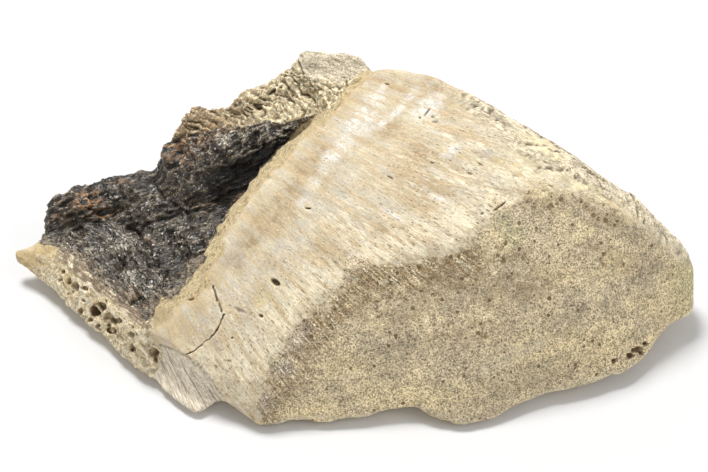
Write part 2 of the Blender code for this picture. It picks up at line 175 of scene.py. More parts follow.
def split_faces(net, chosen):
    """Halve the sides of the faces whose middle is chosen, on the near side."""
    net.faces.ensure_lookup_table()
    middle = np.array([f.calc_center_median() for f in net.faces])
    facing = np.array([f.normal for f in net.faces])
    across, down = in_picture(middle)
    front = (facing * (EYE - middle)).sum(1) > -20.0
    picked = chosen(across, down) & front
    edges = {e for f, hit in zip(net.faces, picked) if hit for e in f.edges}
    bmesh.ops.subdivide_edges(net, edges=list(edges), cuts=1, use_grid_fill=True)


def near_marks(across, down):
    close = to_line(across, down, CRACK) < CRACK_REACH
    close |= to_line(across, down, CRACK_BELOW) < CRACK_REACH
    for x, y, reach in FINE_SPOTS:
        close |= np.hypot(across - x, down - y) < reach
    return close


net = net_over(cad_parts["bone_section"])
split_faces(net, lambda x, y: (within(x, y, TORN_AREA, 1.0) > 0.5) | near_marks(x, y))
split_faces(net, near_marks)
bmesh.ops.triangulate(net, faces=[f for f in net.faces if len(f.verts) > 4])
skin = bpy.data.meshes.new("fossil_bone_section")
net.to_mesh(skin)
net.free()

count = len(skin.vertices)
place = np.empty(count * 3, np.float32)
skin.vertices.foreach_get("co", place)
place = place.reshape(-1, 3).astype(float)
sides = np.empty(len(skin.edges) * 2, np.int32)
skin.edges.foreach_get("vertices", sides)
sides = sides.reshape(-1, 2)
touching = np.bincount(sides.ravel(), minlength=count).astype(float)


def averaged(values):
    """The mean of each corner's neighbours."""
    values = values.reshape(count, -1)
    total = np.empty_like(values)
    for k in range(values.shape[1]):
        total[:, k] = np.bincount(sides[:, 0], values[sides[:, 1], k], count)
        total[:, k] += np.bincount(sides[:, 1], values[sides[:, 0], k], count)
    return total / touching[:, None]


def move_skin(points):
    skin.vertices.foreach_set("co", points.astype(np.float32).ravel())
    skin.update()


for pull in SMOOTHING:
    place += pull * (averaged(place) - place)
move_skin(place)
facing = np.empty(count * 3, np.float32)
skin.vertex_normals.foreach_get("vector", facing)
facing = facing.reshape(-1, 3).astype(float)

across, down = in_picture(place)
to_eye = EYE - place
to_eye /= np.linalg.norm(to_eye, axis=1)[:, None]
tree = BVHTree.FromPolygons([tuple(p) for p in place],
                            [tuple(f.vertices) for f in skin.polygons])
shown = (facing * to_eye).sum(1) > 0.02
for i in np.flatnonzero(shown):
    start = Vector(place[i] + facing[i] * 0.3 + to_eye[i] * 0.2)
    if tree.ray_cast(start, Vector(to_eye[i]))[0] is not None:
        shown[i] = False

seen = np.flatnonzero(shown)
finder = KDTree(len(seen))
for i in seen:
    finder.insert(place[i], int(i))
finder.balance()
nearest = np.arange(count)
away = np.zeros(count)
for i in np.flatnonzero(~shown):
    _, nearest[i], away[i] = finder.find(place[i])


def cloud(size, seed, points=None):
    """Smooth random values from -1 to 1 that change over about size mm."""
    points = place if points is None else points
    spot = points / np.asarray(size, float) + seed * 7.31
    cell = np.floor(spot).astype(np.int64)
    part = spot - cell
    part = part * part * (3.0 - 2.0 * part)
    total = np.zeros(len(points))
    for corner in np.ndindex(2, 2, 2):
        key = (cell + corner) @ np.array([73856093, 19349663, 83492791])
        key = (key ^ (key >> 13)) * 1274126177 & 0xFFFFFFFF
        value = ((key ^ (key >> 15)) & 0xFFFF) / 32767.5 - 1.0
        weight = np.prod(np.where(corner, part, 1.0 - part), axis=1)
        total += value * weight
    return total


def pocks(spacing, seed, points=None):
    """Distance, in spacings, to the nearest of many scattered points."""
    points = place if points is None else points
    spot = points / np.asarray(spacing, float) + seed * 3.17
    cell = np.floor(spot).astype(np.int64)
    best = np.full(len(points), 9.0)
    for corner in np.ndindex(3, 3, 3):
        home = cell + corner - 1
        key = home @ np.array([73856093, 19349663, 83492791])
        point = np.empty_like(spot)
        for k in range(3):
            mixed = (key * (2 * k + 3) ^ (key >> (9 + k))) * 1274126177 & 0xFFFFFFFF
            point[:, k] = ((mixed ^ (mixed >> 14)) & 0xFFFF) / 65535.0
        best = np.minimum(best, np.linalg.norm(home + point - spot, axis=1))
    return best


wander = [cloud(2.6, 1) + 0.5 * cloud(1.1, 2), cloud(2.6, 3) + 0.5 * cloud(1.1, 4)]
shake = [cloud(0.75, 5), cloud(0.75, 6)]


def zone(border, soft=1.5, ragged=1.5):
    """How much of each corner lies inside a border seen in the picture."""
    return within(across + ragged * wander[0], down + ragged * wander[1], border, soft)


def stroke(stops, wide, soft=1.0, ragged=0.4, jagged=0.0):
    """A soft line through the stops, with a ragged or jagged course."""
    gap = to_line(across + ragged * wander[0] + jagged * shake[0],
                  down + ragged * wander[1] + jagged * shake[1], stops)
    return 1.0 - smooth_step(wide - soft, wide + soft, gap)


def spots(places, soft=0.35, ragged=0.3):
    """Soft ovals: across, down, half length, half width, turn in degrees."""
    total = np.zeros(count)
    for x, y, long, wide, turn in places:
        a = np.radians(turn)
        dx, dy = across + ragged * wander[0] - x, down + ragged * wander[1] - y
        u, v = dx * np.cos(a) + dy * np.sin(a), dy * np.cos(a) - dx * np.sin(a)
        oval = smooth_step(1 - soft, 1 + soft, np.hypot(u / long, v / wide))
        total = np.maximum(total, 1.0 - oval)
    return total


def settled(share, fade=7.0, far=0.0):
    """Carry a share round to the sides that the picture doesn't show."""
    reach = 1.0 - smooth_step(0.0, fade, away + 1.2 * cloud(2.2, 9) * (away > 0.8))
    return np.where(shown, share, share[nearest] * reach + far * (1.0 - reach))


rise = 0.10 * cloud(3.4, 11) + 0.05 * cloud(1.5, 12)

# --------------------------------
# The finish of the bone: mineral-hard, dry and dull, built up zone by zone.
# Each later section lays its own colour, dullness and fine relief over this.
# --------------------------------
finish = bpy.data.materials.new("fossil_bone")
finish.use_nodes = True
nodes, links = finish.node_tree.nodes, finish.node_tree.links
nodes.clear()


def linked(value):
    return isinstance(value, bpy.types.NodeSocket)


def add(kind, inputs=None, **settings):
    made = nodes.new("ShaderNode" + kind)
    for name, value in settings.items():
        setattr(made, name, value)
    for name, value in (inputs or {}).items():
        if linked(value):
            links.new(value, made.inputs[name])
        else:
            made.inputs[name].default_value = value
    return made


def maths(what, a, b=0.0, hold=False):
    return add("Math", {0: a, 1: b}, operation=what, use_clamp=hold).outputs[0]


def times(*amounts):
    total = amounts[0]
    for amount in amounts[1:]:
        total = maths("MULTIPLY", total, amount)
    return total


def plus(a, b):
    return maths("ADD", a, b)


def either(a, b):
    return maths("MAXIMUM", a, b)


def swing(value, strength):
    """A random value from 0 to 1 made to swing round 0."""
    return times(maths("SUBTRACT", value, 0.5), strength)


def attribute(name, output):
    return add("Attribute", attribute_name=name, attribute_type="GEOMETRY").outputs[output]


def share_of(name):
    return attribute(name, "Fac")


def stretched(vector, x, y, z=None):
    size = (x, y, y if z is None else z)
    return add("VectorMath", {0: vector, 1: size}, operation="MULTIPLY").outputs[0]


def mottle(vector, scale=1.0, detail=2.0, rough=0.55):
    return add("TexNoise", {"Vector": vector, "Scale": scale, "Detail": detail,
                            "Roughness": rough}).outputs["Fac"]


def threads(lie, long, wide, rough=0.55, thick=None):
    """A random tone drawn out along a lie."""
    return mottle(stretched(lie, long, wide, thick), rough=rough)


def scattered(vector, keep, size, soft, scale=1.0):
    """Small dots: keep is the share of points that have one, size its reach."""
    dots = add("TexVoronoi", {"Vector": vector, "Scale": scale})
    split = add("SeparateColor", {0: dots.outputs["Color"]})
    chosen = maths("LESS_THAN", split.outputs[0], keep)
    edge = maths("SUBTRACT", plus(times(split.outputs[1], size), size * 0.5),
                 dots.outputs["Distance"])
    return times(maths("DIVIDE", edge, soft, hold=True), chosen)


def ranged(value, low, high, to_low=0.0, to_high=1.0):
    return add("MapRange", {0: value, 1: low, 2: high, 3: to_low, 4: to_high}).outputs[0]


def veins(vector, scale, wide):
    """Thin wandering lines: where a smooth change crosses its middle."""
    off = maths("ABSOLUTE", maths("SUBTRACT", mottle(vector, scale, 2.0, 0.6), 0.5))
    return ranged(off, 0.0, wide, 1.0, 0.0)


def blended(amount, below, above):
    below, above = (c if linked(c) else (*c, 1.0) for c in (below, above))
    return add("Mix", {0: amount, 6: below, 7: above}, data_type="RGBA").outputs[2]


def over(base, colour, *amounts):
    """A colour laid over a base by the product of the amounts."""
    return blended(times(*amounts), base, colour)


def shaded(colour, amount):
    """A colour made lighter or darker by a number round 1."""
    grey = add("CombineXYZ", {0: amount, 1: amount, 2: amount}).outputs[0]
    return add("VectorMath", {0: colour, 1: grey}, operation="MULTIPLY").outputs[0]


def mixed_number(amount, below, above):
    return add("Mix", {0: amount, 2: below, 3: above}, data_type="FLOAT").outputs[0]


where = stretched(add("TexCoord").outputs["Object"], MM_PER_M, MM_PER_M)
grain = attribute("grain", "Vector")
strand = attribute("strand", "Vector")


def keep_lie(name, points):
    made = skin.attributes.new(name, "FLOAT_VECTOR", "POINT")
    made.data.foreach_set("vector", points.astype(np.float32).ravel())


def keep_share(name, share):
    """Store a zone's share on the net for the finish to read."""
    made = skin.attributes.new(name, "FLOAT", "POINT")
    made.data.foreach_set("value", np.clip(share, 0.0, 1.0).astype(np.float32))
    return share_of(name)


def carried(name, share, fade=7.0, far=0.0):
    return keep_share(name, settled(share, fade, far))


def lay(amount, colour, dull, relief):
    """Lay one zone's finish over all that is there so far."""
    look["colour"] = blended(amount, look["colour"], colour)
    look["dull"] = mixed_number(amount, look["dull"], dull)
    look["relief"] = mixed_number(amount, look["relief"], relief)


def tint(colour, *amounts):
    look["colour"] = over(look["colour"], colour, *amounts)


# --------------------------------
# The smooth outer face: the old surface of the bone, tan and cream, with
# fibres that fan out from the torn end. It carries pale scraped patches,
# orange and grey stains, thin dark slits and a few small blood-vessel holes.
# --------------------------------
FAN_MIDDLE = np.array([-77.1, 53.5, 45.0])
FAN_UP = np.array([-0.19988, -0.46997, 0.85975])
FAN_ALONG = np.array([0.87969, -0.47249, -0.05376])
FAN_ACROSS = np.cross(FAN_UP, FAN_ALONG)
FAN_REACH = 110.0  # from the middle at which fibres keep their true width
HOLE_DEPTH = 0.75
RING_DEPTH = 0.12
CREAM = (0.785, 0.665, 0.45)
TAN = (0.68, 0.545, 0.345)
STREAK_TAN = (0.69, 0.525, 0.315)
HIDDEN_TAN = (0.66, 0.55, 0.38)
ORANGE_TAN = (0.52, 0.375, 0.205)
PALE_GREY = (0.70, 0.64, 0.515)
STROKE = (0.90, 0.81, 0.60)
SCRAPED = (0.96, 0.925, 0.835)
YELLOW = (0.76, 0.60, 0.30)
MAUVE = (0.54, 0.46, 0.40)
EDGE_CREAM = (0.93, 0.83, 0.60)
SLIT = (0.20, 0.13, 0.07)
HOLE = (0.13, 0.085, 0.05)

from_middle = place - FAN_MIDDLE
turn = np.arctan2(from_middle @ FAN_ACROSS, from_middle @ FAN_ALONG)
reach = np.hypot(from_middle @ FAN_ACROSS, from_middle @ FAN_ALONG)
grain_place = np.stack([reach, turn * FAN_REACH, from_middle @ FAN_UP], 1)
keep_lie("grain", grain_place)

rise += 0.10 * cloud((14.0, 2.6, 2.6), 21, grain_place) \
    + 0.05 * cloud((6.0, 1.3, 1.3), 22, grain_place)
holes = np.maximum.reduce([
    spots([(275, 282, 4.8, 2.9, 35)], 0.3),
    0.75 * spots([(261, 316, 2.2, 1.5, 30), (500, 206, 7.0, 1.0, -38), (190, 299, 3.6, 1.3, -15),
        (555, 144, 7.0, 0.9, 35), (638, 212, 7.5, 1.4, 78), (308, 208, 3.0, 0.9, 5)], 0.5, 0.6),
    0.5 * spots([(482, 213, 1.4, 1.2, 0), (432, 163, 2.4, 0.8, 10), (390, 178, 3.0, 0.8, 30),
        (232, 338, 1.0, 1.0, 0), (480, 164, 2.8, 0.8, 25), (470, 173, 3.0, 0.9, 20),
        (427, 112, 4.5, 1.0, -50), (387, 84, 2.4, 0.7, 10), (433, 116, 1.6, 0.9, 0),
        (420, 117, 1.2, 0.8, 0), (436, 121, 2.6, 0.8, 10)], 0.6, 0.6),
    0.35 * spots([(240, 310, 5.5, 1.6, 25), (229, 361, 2.4, 1.1, 20)], 0.6, 0.6)])
rise -= HOLE_DEPTH * holes * shown
ring = spots([(239, 257, 4.5, 3.0, -20), (289, 249, 4.6, 1.8, 15)]) \
    - spots([(239, 257, 3.0, 1.8, -20), (289, 249, 3.2, 0.9, 15)])
rise -= RING_DEPTH * np.clip(ring, 0, 1) * shown

scraped = np.maximum.reduce([
    spots([(356, 124, 28, 12, -45), (372, 104, 16, 8, -50), (335, 152, 20, 7, -50)], 0.7, 4.0),
    stroke([(415, 90), (398, 108), (380, 126)], 3.5, 2.5, 2.5),
    0.9 * stroke([(384, 86), (372, 104), (352, 120)], 3.0, 2.5, 2.5),
    0.7 * stroke([(345, 140), (318, 175), (300, 205)], 4.0, 3.5, 4.0),
    spots([(427, 106, 15, 9, -35), (444, 200, 14, 3, 20), (390, 215, 18, 3, 25),
        (452, 152, 12, 5, -25)], 0.6, 3.0)])
grey = np.maximum.reduce([
    0.9 * stroke([(360, 118), (348, 160), (330, 205), (290, 245), (232, 292)], 11, 8, 6),
    0.8 * spots([(376, 205, 22, 12, 35), (205, 318, 12, 8, -40), (250, 335, 18, 14, 0)],
        0.8, 5.0)])
orange = np.maximum.reduce([
    spots([(392, 82, 24, 9, 10), (440, 92, 22, 9, 28), (300, 170, 12, 7, -50),
        (255, 225, 14, 7, -50), (422, 156, 18, 9, 12), (294, 202, 16, 9, -50),
        (463, 92, 18, 8, 25), (398, 232, 26, 9, 25), (276, 222, 12, 8, -50),
        (392, 128, 12, 10, 0)], 0.8, 5.0),
    stroke([(322, 148), (300, 178), (274, 210), (250, 240), (236, 262)], 8.0, 6.0, 4.0),
    0.7 * spots([(330, 255, 22, 9, 30), (268, 262, 16, 8, 0), (440, 196, 26, 9, 22)], 0.9, 6.0)])
yellow = np.maximum.reduce([
    spots([(262, 302, 13, 11, 0), (456, 152, 5, 9, -30), (442, 156, 3, 9, -20),
        (270, 322, 10, 6, 0)], 0.7, 3.0),
    0.9 * spots([(520, 165, 26, 11, 22), (590, 190, 34, 7, 30), (345, 98, 10, 10, 0),
        (540, 146, 22, 7, 28), (632, 226, 18, 8, 40)], 0.7, 4.0)])
mauve = np.maximum.reduce([
    spots([(357, 255, 9, 5, 10), (431, 108, 9, 6, -40), (486, 154, 9, 4, 5)], 0.6, 2.5),
    0.7 * spots([(240, 256, 12, 8, 0), (219, 346, 10, 6, 0), (240, 310, 9, 5, 25)], 0.8, 3.0)])

look = {}
broad = threads(grain, 0.07, 0.16)
streaks = threads(grain, 0.16, 0.95, 0.6)
fibres = threads(grain, 0.8, 3.6, 0.65)
flecks = mottle(where, 2.9, 2.0, 0.7)
look["colour"] = blended(ranged(broad, 0.42, 0.58), TAN, CREAM)
tint(HIDDEN_TAN, share_of("hidden_skin"), 0.8)
tint(ORANGE_TAN, ranged(streaks, 0.52, 0.62), 0.32)
tint(PALE_GREY, ranged(threads(grain, 0.2, 0.55), 0.53, 0.62), 0.55)
chalk = mottle(where, 0.75, 3.0, 0.65)
for name, share, colour, strength in (("stain_grey", grey, PALE_GREY, 0.85),
                                      ("stain_orange", orange, ORANGE_TAN, 1.0),
                                      ("stain_yellow", yellow, YELLOW, 0.75),
                                      ("stain_mauve", mauve, MAUVE, 0.8),
                                      ("scraped", scraped, SCRAPED, 1.0)):
    tint(colour, carried(name, share, 4.0), ranged(chalk, 0.44, 0.53, 0.35, 1.0), strength)
bands = threads(grain, 0.045, 0.62)
tint(PALE_GREY, ranged(bands, 0.54, 0.62, 0.0, 0.4))
tint(STREAK_TAN, ranged(bands, 0.46, 0.38, 0.0, 0.7))
patchy = ranged(threads(grain, 0.06, 0.19), 0.42, 0.58)
to_joint = 0.62 * (across - 330) + 0.78 * (down - 150) - 30
frayed_part = 0.15 + 0.85 * smooth_step(-50, 70, to_joint) \
    - 0.5 * stroke([(372, 72), (291, 154), (221, 253), (154, 336)], 26, 16)
speckle = carried("speckle", np.clip(frayed_part, 0.05, 1.0), 9.0, 0.8)
strokes = ranged(threads(grain, 0.26, 1.7), 0.55, 0.62)
tint(STROKE, strokes, patchy, ranged(speckle, 0.0, 1.0, 0.3, 1.0))
near_joint = carried("near_joint", np.maximum(
    stroke([(240, 385), (274, 332), (332, 274), (400, 247), (470, 222), (530, 170)], 19, 14, 8.0),
    spots([(216, 364, 22, 16, 30), (235, 385, 16, 16, 0)], 0.8, 4.0)))
tint(EDGE_CREAM, near_joint, ranged(streaks, 0.58, 0.44, 0.0, 0.75))
hair = times(ranged(fibres, 0.36, 0.64, -0.17, 0.12), ranged(speckle, 0.0, 1.0, 0.35, 1.1))
lighter = plus(hair, ranged(flecks, 0.36, 0.64, -0.11, 0.09))
look["colour"] = shaded(look["colour"], plus(lighter, 1.0))

nicks = scattered(stretched(grain, 0.50, 1.9), 0.24, 0.24, 0.12)
small_nicks = scattered(stretched(grain, 1.1, 3.6), 0.36, 0.27, 0.15)
joint_nicks = scattered(stretched(grain, 0.62, 2.2), 0.65, 0.27, 0.10)
dark_nicks = times(either(nicks, small_nicks), times(speckle, ranged(patchy, 1.0, 0.0, 0.45, 1.0)))
dark_nicks = either(dark_nicks, times(joint_nicks, times(near_joint, ranged(streaks, 0.40, 0.56))))
tint(SLIT, dark_nicks, 0.85)
tint(HOLE, keep_share("holes", holes * shown))
look["dull"] = ranged(streaks, 0.3, 0.7, 0.62, 0.80)
look["relief"] = plus(times(fibres, 0.5),
                      maths("SUBTRACT", times(flecks, 0.4), times(small_nicks, speckle)))

# --------------------------------
# The weathered back and underside: the same bone, where its outer layer has
# worn away to open, sandy, brownish pores. It is dull all over.
# --------------------------------
WORN = (0.47, 0.365, 0.22)
WORN_PALE = (0.74, 0.63, 0.44)
PORE = (0.15, 0.10, 0.06)
PORE_DEPTH = 0.50

hidden = smooth_step(2.0, 8.0, away + 1.5 * cloud(3.0, 31))
keep_share("hidden_skin", hidden)
open_pores = 1.0 - smooth_step(0.18, 0.42, pocks(2.1, 31))
long_ribs = 1.0 - np.abs(cloud((13.0, 2.4, 2.4), 34))
rise += hidden * (0.35 * cloud(2.2, 33) + 0.45 * cloud(8.5, 35) + 0.45 * (long_ribs - 0.6)
                  - PORE_DEPTH * open_pores * smooth_step(-0.2, 0.2, cloud(8.0, 32)))
worn = blended(ranged(mottle(stretched(where, 0.07, 0.2), detail=3.0), 0.42, 0.58),
               WORN, WORN_PALE)
worn = shaded(worn, ranged(threads(where, 0.8, 2.4, 0.7), 0.36, 0.64, 0.66, 1.25))
worn_pores = scattered(stretched(where, 0.7, 1.3), 0.6, 0.27, 0.1)
worn = over(worn, PORE, worn_pores, 0.8)
lay(share_of("hidden_skin"), worn, 0.9, maths("SUBTRACT", flecks, worn_pores))

# --------------------------------
# The joint surface: the grey-brown end of the bone where gristle sat. It is
# an even, sandy bed of pinprick pores with yellow and green stains, and a
# browner, stringy band just inside its edge. Part of the yellow is painted
# light that brightens its lower part and its right end.
# --------------------------------
JOINT_EDGE = [(250, 432), (256, 418), (258, 398), (266, 372), (277, 350), (290, 332), (303, 318),
    (322, 303), (343, 288), (350, 275), (345, 262), (362, 257), (400, 263), (438, 257),
    (468, 243), (486, 228), (500, 207), (528, 193), (562, 188), (590, 198), (612, 207),
    (650, 232), (690, 262), (720, 300), (700, 340), (660, 400), (470, 450), (300, 450)]
JOINT_GREY = (0.63, 0.52, 0.345)
JOINT_TAN = (0.79, 0.65, 0.41)
JOINT_YELLOW = (0.88, 0.71, 0.41)
JOINT_GREEN = (0.57, 0.535, 0.29)
JOINT_BROWN = (0.35, 0.245, 0.125)
JOINT_SHADE = (0.42, 0.345, 0.235)
JOINT_MAUVE = (0.47, 0.385, 0.31)
PINPRICK = (0.15, 0.09, 0.035)
PALE_LINE = (0.84, 0.75, 0.54)
SAND = (0.86, 0.78, 0.56)
FOOT_CELL_DEPTH = 0.7

joint = settled(zone(JOINT_EDGE, 16.0, 6.0), 9.0)
brown = np.maximum.reduce([
    stroke([(262, 410), (268, 385), (290, 350), (318, 325), (350, 300), (372, 282), (410, 278),
        (470, 262)], 15, 10, 6),
    spots([(318, 330, 34, 22, -40), (290, 370, 20, 30, 20), (385, 276, 38, 16, 0),
        (450, 264, 30, 13, -10)], 0.7, 6.0)])
pitted = spots([(545, 200, 36, 12, 10), (520, 288, 46, 15, -14), (450, 282, 44, 16, -10),
    (500, 258, 34, 11, 0), (604, 216, 26, 8, 25), (395, 310, 40, 14, -10), (600, 255, 30, 10, 20),
    (470, 330, 34, 12, 0)], 0.9, 7.0)
green = spots([(513, 236, 12, 10, -30), (688, 285, 14, 32, 0), (505, 222, 10, 6, 0)], 0.8, 4.0)
# Yellow staining, and painted light in the spots along the lower part and at the right end of the
# joint face.
gold_and_painted_light = spots([(420, 398, 60, 12, 0), (682, 286, 18, 40, 0), (590, 360, 50, 12, -22),
    (660, 305, 26, 14, 0), (560, 275, 24, 9, 10), (480, 392, 60, 8, -15), (345, 365, 30, 16, 0),
    (560, 345, 60, 12, -12), (585, 232, 12, 8, 0), (500, 240, 14, 4, 38), (620, 265, 16, 12, 0),
    (300, 412, 34, 10, 0)], 0.9, 6.0)
dim = spots([(640, 232, 28, 12, 25), (505, 290, 46, 14, -12), (300, 345, 20, 16, 0),
    (268, 408, 12, 18, 0), (520, 385, 70, 12, -16), (650, 270, 20, 12, 0), (380, 345, 36, 16, 0),
    (400, 275, 28, 8, 0)], 0.9, 7.0)
mauve_end = 0.75 * spots([(353, 262, 13, 8, 0), (298, 338, 18, 10, -45), (263, 400, 9, 16, 10),
    (283, 368, 12, 9, -40)], 0.7, 5.0)
pale_line = np.maximum(
    0.5 * stroke([(484, 369), (510, 355), (542, 342)], 5.0, 4.0, 3.0),
    0.7 * stroke([(262, 428), (290, 419), (320, 416), (345, 420), (372, 414), (420, 409),
        (436, 412), (455, 420), (470, 424), (488, 420), (515, 408), (535, 398), (560, 388),
        (600, 378), (625, 370), (642, 362), (656, 348), (668, 330), (690, 312)], 1.6, 1.6, 1.5))
rise += joint * (0.12 * cloud(5.0, 41) + 0.09 * cloud(0.9, 42) + 0.07 * cloud(0.55, 43))
foot_cells = spots([(630, 356, 3.6, 2.6, 0), (639, 350, 4.2, 3.0, -20), (634, 351, 2.6, 2.2, 0),
    (642, 353, 2.4, 2.2, 0), (613, 361, 2.4, 1.8, 0), (646, 344, 2.4, 2.0, 0)], 0.4, 0.8)
rise -= FOOT_CELL_DEPTH * foot_cells * shown

sandy = mottle(where, 3.0, 2.0, 0.8)
coarse = mottle(where, 0.8, 3.0, 0.75)
bed = blended(ranged(mottle(where, 0.14, 3.0), 0.42, 0.60), JOINT_GREY, JOINT_TAN)
bed = over(bed, JOINT_YELLOW, carried("joint_gold_and_painted_light", gold_and_painted_light), 0.7)
bed = over(bed, JOINT_SHADE, carried("joint_dim", dim), 0.55)
bed = over(bed, JOINT_GREEN, carried("joint_green", green), 0.5)
strings = threads(grain, 0.30, 2.6, 0.6, 0.35)
strings_long = threads(grain, 0.11, 2.1, 0.65, 0.2)
stringy = blended(ranged(strings, 0.48, 0.66), JOINT_BROWN, JOINT_TAN)
stringy = over(stringy, JOINT_MAUVE, carried("joint_mauve", mauve_end))
stringy = over(stringy, SAND, ranged(strings_long, 0.56, 0.63), ranged(chalk, 0.44, 0.56))
bed = over(bed, stringy, carried("joint_brown", brown), ranged(chalk, 0.36, 0.50, 0.5, 1.0))
bed = shaded(bed, plus(ranged(sandy, 0.39, 0.61, 0.44, 1.52),
                       ranged(coarse, 0.36, 0.62, -0.20, 0.14)))
porous = ranged(mottle(where, 0.25), 0.38, 0.62, 0.25, 1.0)
pit_share = carried("joint_pits", pitted, 9.0)
pinpricks = times(scattered(where, 0.5, 0.32, 0.15, 2.4), porous)
pinpricks = either(pinpricks, times(scattered(where, 0.9, 0.30, 0.08, 0.8), pit_share))
pinpricks = either(pinpricks, scattered(where, 0.3, 0.22, 0.06, 0.7))
bed = over(bed, SAND, scattered(where, 0.34, 0.30, 0.15, 3.1), 0.8)
bed = over(bed, PALE_LINE, carried("pale_line", pale_line), ranged(sandy, 0.36, 0.6, 0.3, 1.0))
bed = over(bed, JOINT_BROWN, pit_share, ranged(chalk, 0.42, 0.56), 0.5)
bed = over(bed, PINPRICK, pinpricks, 0.85)
bed = over(bed, PINPRICK, keep_share("foot_cells", foot_cells * shown))
frays = plus(swing(strings_long, 1.9), swing(chalk, 2.4))
lay(ranged(plus(keep_share("joint", joint), frays), 0.38, 0.60), bed, 0.88, times(sandy, 2.0))

# --------------------------------
# The crest strip: along the back edge the outer layer is frayed lengthways
# into cream and grey splinters, with dark slits between them.
# --------------------------------
CREST_AREA = [(405, 60), (440, 84), (462, 100), (478, 118), (500, 135), (520, 160), (560, 186),
    (592, 196), (618, 206), (650, 230), (690, 262), (720, 250), (600, 110), (480, 60)]
CREST_CRACKS = [
    [(432, 84), (452, 95), (468, 108), (478, 119)], [(452, 92), (480, 102), (502, 118)],
    [(482, 98), (512, 114), (528, 126)], [(472, 104), (490, 112), (508, 128)],
    [(514, 140), (540, 147), (562, 152)], [(532, 128), (556, 142), (574, 152)],
    [(576, 162), (602, 180)], [(628, 188), (640, 206), (646, 224)],
    [(540, 166), (566, 170), (590, 184)]]
CREST_CREAM = (0.92, 0.82, 0.60)
CREST_GREY = (0.67, 0.57, 0.40)
CREST_YELLOW = (0.95, 0.82, 0.50)

crest = settled(zone(CREST_AREA, 6.0, 5.0), 8.0)
slits = smooth_step(0.35, 0.75, np.abs(cloud((7.0, 1.1, 1.1), 51, grain_place)))
splits = 1.0 - smooth_step(0.05, 0.22, np.abs(cloud((9.0, 1.5, 1.5), 52, grain_place)))
crest_cracks = np.maximum.reduce([stroke(c, 0.55, 0.6, 1.6, 1.6) for c in CREST_CRACKS]) * shown
rough_end = zone([(588, 168), (640, 192), (700, 250), (690, 268), (655, 244), (618, 212),
    (592, 196)], 5.0, 4.0)
rough = 0.22 * cloud((2.4, 1.2, 1.2), 54, grain_place) - 0.25 * splits
rise += crest * (0.12 * slits - 0.34 * splits * smooth_step(-0.2, 0.4, cloud(5.0, 53))
                 - 0.35 * crest_cracks + rough_end * rough)
frayed = threads(grain, 0.3, 2.1, 0.65)
strip = blended(ranged(frayed, 0.38, 0.62), CREST_GREY, CREST_CREAM)
strip = shaded(strip, ranged(threads(grain, 0.8, 4.2, 0.7), 0.36, 0.64, 0.66, 1.24))
dark_slits = either(scattered(stretched(grain, 0.45, 1.7), 0.42, 0.25, 0.12),
                    scattered(stretched(grain, 1.0, 3.3), 0.5, 0.27, 0.15))
strip = over(strip, SLIT, dark_slits, 0.9)
strip = over(strip, SLIT, veins(stretched(grain, 0.2, 1.1), 1.0, 0.032),
             ranged(patchy, 0.0, 1.0, 1.0, 0.3))
strip = over(strip, CREST_YELLOW, share_of("stain_yellow"), ranged(chalk, 0.42, 0.54, 0.2, 0.8))
strip = over(strip, PORE, either(share_of("holes"), keep_share("crest_cracks", 0.8 * crest_cracks)))
lay(keep_share("crest", crest), strip, 0.8, times(frayed, 2.0))

# --------------------------------
# The flaked step at the lower left: a layer of bone has split off below the
# crack and left a lower, mauve-grey ledge of fine layers.
# --------------------------------
LEDGE_AREA = [(143, 340), (160, 345), (186, 355), (200, 367), (212, 381), (223, 397), (224, 406),
    (196, 422), (178, 408), (160, 388), (145, 372), (138, 356)]
STEP_LINE = [(160, 345), (172, 350), (186, 355), (200, 367), (212, 381), (222, 396)]
LEDGE_MAUVE = (0.72, 0.615, 0.48)
LEDGE_TAN = (0.98, 0.88, 0.68)
LEDGE_LINE = (0.30, 0.23, 0.16)
CRACK_DARK = (0.13, 0.095, 0.06)
CRACK_DEPTH = 0.55
STEP_DEPTH = 0.2

ledge = settled(zone(LEDGE_AREA, 1.6, 1.5), 5.0)
layers = threads(grain, 0.22, 3.4, 0.6)
slab = blended(ranged(layers, 0.42, 0.58), LEDGE_MAUVE, LEDGE_TAN)
slab = over(slab, LEDGE_LINE, ranged(strings_long, 0.57, 0.62, 0.0, 0.8))
slab = shaded(slab, times(ranged(fibres, 0.36, 0.64, 0.8, 1.14),
                          ranged(flecks, 0.36, 0.64, 0.88, 1.1)))
lay(keep_share("ledge", ledge), slab, 0.72, layers)
rise += ledge * 0.08 * cloud((7.0, 0.9, 0.9), 61, grain_place)

crack = np.maximum(stroke(CRACK, 0.8, 0.6, 0.6, 1.0),
                   stroke(CRACK_BELOW, 0.6, 0.6, 0.8, 1.2)) * shown
crack *= 0.75 + 0.45 * shake[0]
step_line = stroke(STEP_LINE, 0.9, 0.9, 0.8) * shown
rise -= CRACK_DEPTH * crack + STEP_DEPTH * step_line
# The crack is dark, and a weaker painted shadow runs along the step below it.
tint(CRACK_DARK, keep_share("crack", np.maximum(crack, 0.35 * step_line)))

# --------------------------------
# The broken edge of the outer layer, along the rim of the hollow: a yellow
# cream band full of tiny cells, with a thin ochre line beside the old face.
# --------------------------------
RIM = [(374, 70), (362, 80), (352, 92), (346, 96), (332, 118), (309, 133), (291, 154), (266, 181),
    (247, 206), (228, 232), (221, 253), (210, 270), (208, 286), (198, 295), (173, 312),
    (157, 325), (152, 338)]
BAND_OUTSIDE = [(362, 72), (350, 80), (336, 100), (322, 112), (302, 123), (287, 139), (266, 163),
    (244, 189), (224, 219), (207, 246), (205, 257), (193, 275), (177, 293), (155, 302),
    (148, 314), (146, 330)]
BAND_YELLOW = (0.55, 0.42, 0.23)
BAND_PALE = (0.68, 0.56, 0.335)
BAND_CELL = (0.24, 0.16, 0.08)
OCHRE = (0.62, 0.44, 0.22)

